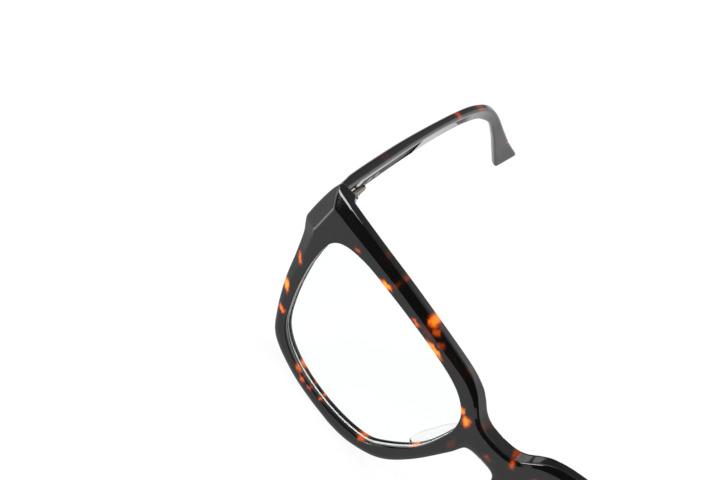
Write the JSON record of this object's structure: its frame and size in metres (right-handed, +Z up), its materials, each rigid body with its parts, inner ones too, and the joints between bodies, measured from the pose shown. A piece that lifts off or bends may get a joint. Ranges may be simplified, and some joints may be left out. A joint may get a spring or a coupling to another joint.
{
  "type": "smart glasses",
  "caption": "Smart glasses: acetate spectacle frame with clear lenses and two folding arms that hold batteries, boards, speakers and a control key.",
  "frame": {"origin": "middle of the object's footprint, on the surface that it stands on", "axes": "X across the face with the wearer's right side at -X, front facing -Y, arms running to +Y, +Z up"},
  "size_m": [0.141, 0.1522, 0.0424],
  "materials": {
    "acetate": "polished dark tortoiseshell cellulose acetate with amber flecks",
    "lens": "clear coated plano lens",
    "nose_pad": "polished crystal acetate",
    "hinge": "dark nickel silver, lightly brushed",
    "steel": "bright steel",
    "cover": "satin moulded nylon",
    "battery": "laminated foil pouch",
    "board": "solder mask",
    "speaker": "black metal can",
    "gold": "gold plating",
    "film": "polyimide film"
  },
  "bodies": {
    "front": {"frame_front": "acetate", "lens_right": "lens", "nose_pad_right": "nose_pad", "hinge_leaf_front_right": "hinge", "hinge_screw_right": "steel", "front_leaf_screw_lower_right": "steel", "front_leaf_screw_upper_right": "steel", "lens_left": "lens", "nose_pad_left": "nose_pad", "hinge_leaf_front_left": "hinge", "hinge_screw_left": "steel", "front_leaf_screw_lower_left": "steel", "front_leaf_screw_upper_left": "steel"},
    "arm_right": {"arm_shell_right": "acetate", "arm_cover_right": "cover", "hinge_leaf_arm_right": "hinge", "core_wire_right": "steel", "battery_right": "battery", "circuit_board_right": "board", "speaker_right": "speaker", "microphone_right": "gold", "arm_leaf_screw_front_right": "steel", "arm_leaf_screw_rear_right": "steel", "charging_contact_front_right": "steel", "charging_contact_rear_right": "steel", "touch_strip_right": "film"},
    "arm_left": {"arm_shell_left": "acetate", "arm_cover_left": "cover", "hinge_leaf_arm_left": "hinge", "core_wire_left": "steel", "battery_left": "battery", "circuit_board_left": "board", "speaker_left": "speaker", "microphone_left": "gold", "arm_leaf_screw_front_left": "steel", "arm_leaf_screw_rear_left": "steel", "charging_contact_front_left": "steel", "charging_contact_rear_left": "steel"},
    "control_button": {"control_button_right": "cover"}
  },
  "joints": [
    {"name": "arm_right_fold", "type": "hinge", "parent": "front", "child": "arm_right", "pos_m": [-0.0654, -0.05683, 0.0357], "axis": [0, 0, -1], "range_deg": [0, 87]},
    {"name": "arm_left_fold", "type": "hinge", "parent": "front", "child": "arm_left", "pos_m": [0.0654, -0.05683, 0.0357], "axis": [0, 0, 1], "range_deg": [0, 80]},
    {"name": "control_button_press", "type": "slide", "parent": "arm_right", "child": "control_button", "axis": [0, 0.0663, 0.9978], "range_m": [0, 0.0004], "stiffness_N_per_m": 600}
  ]
}
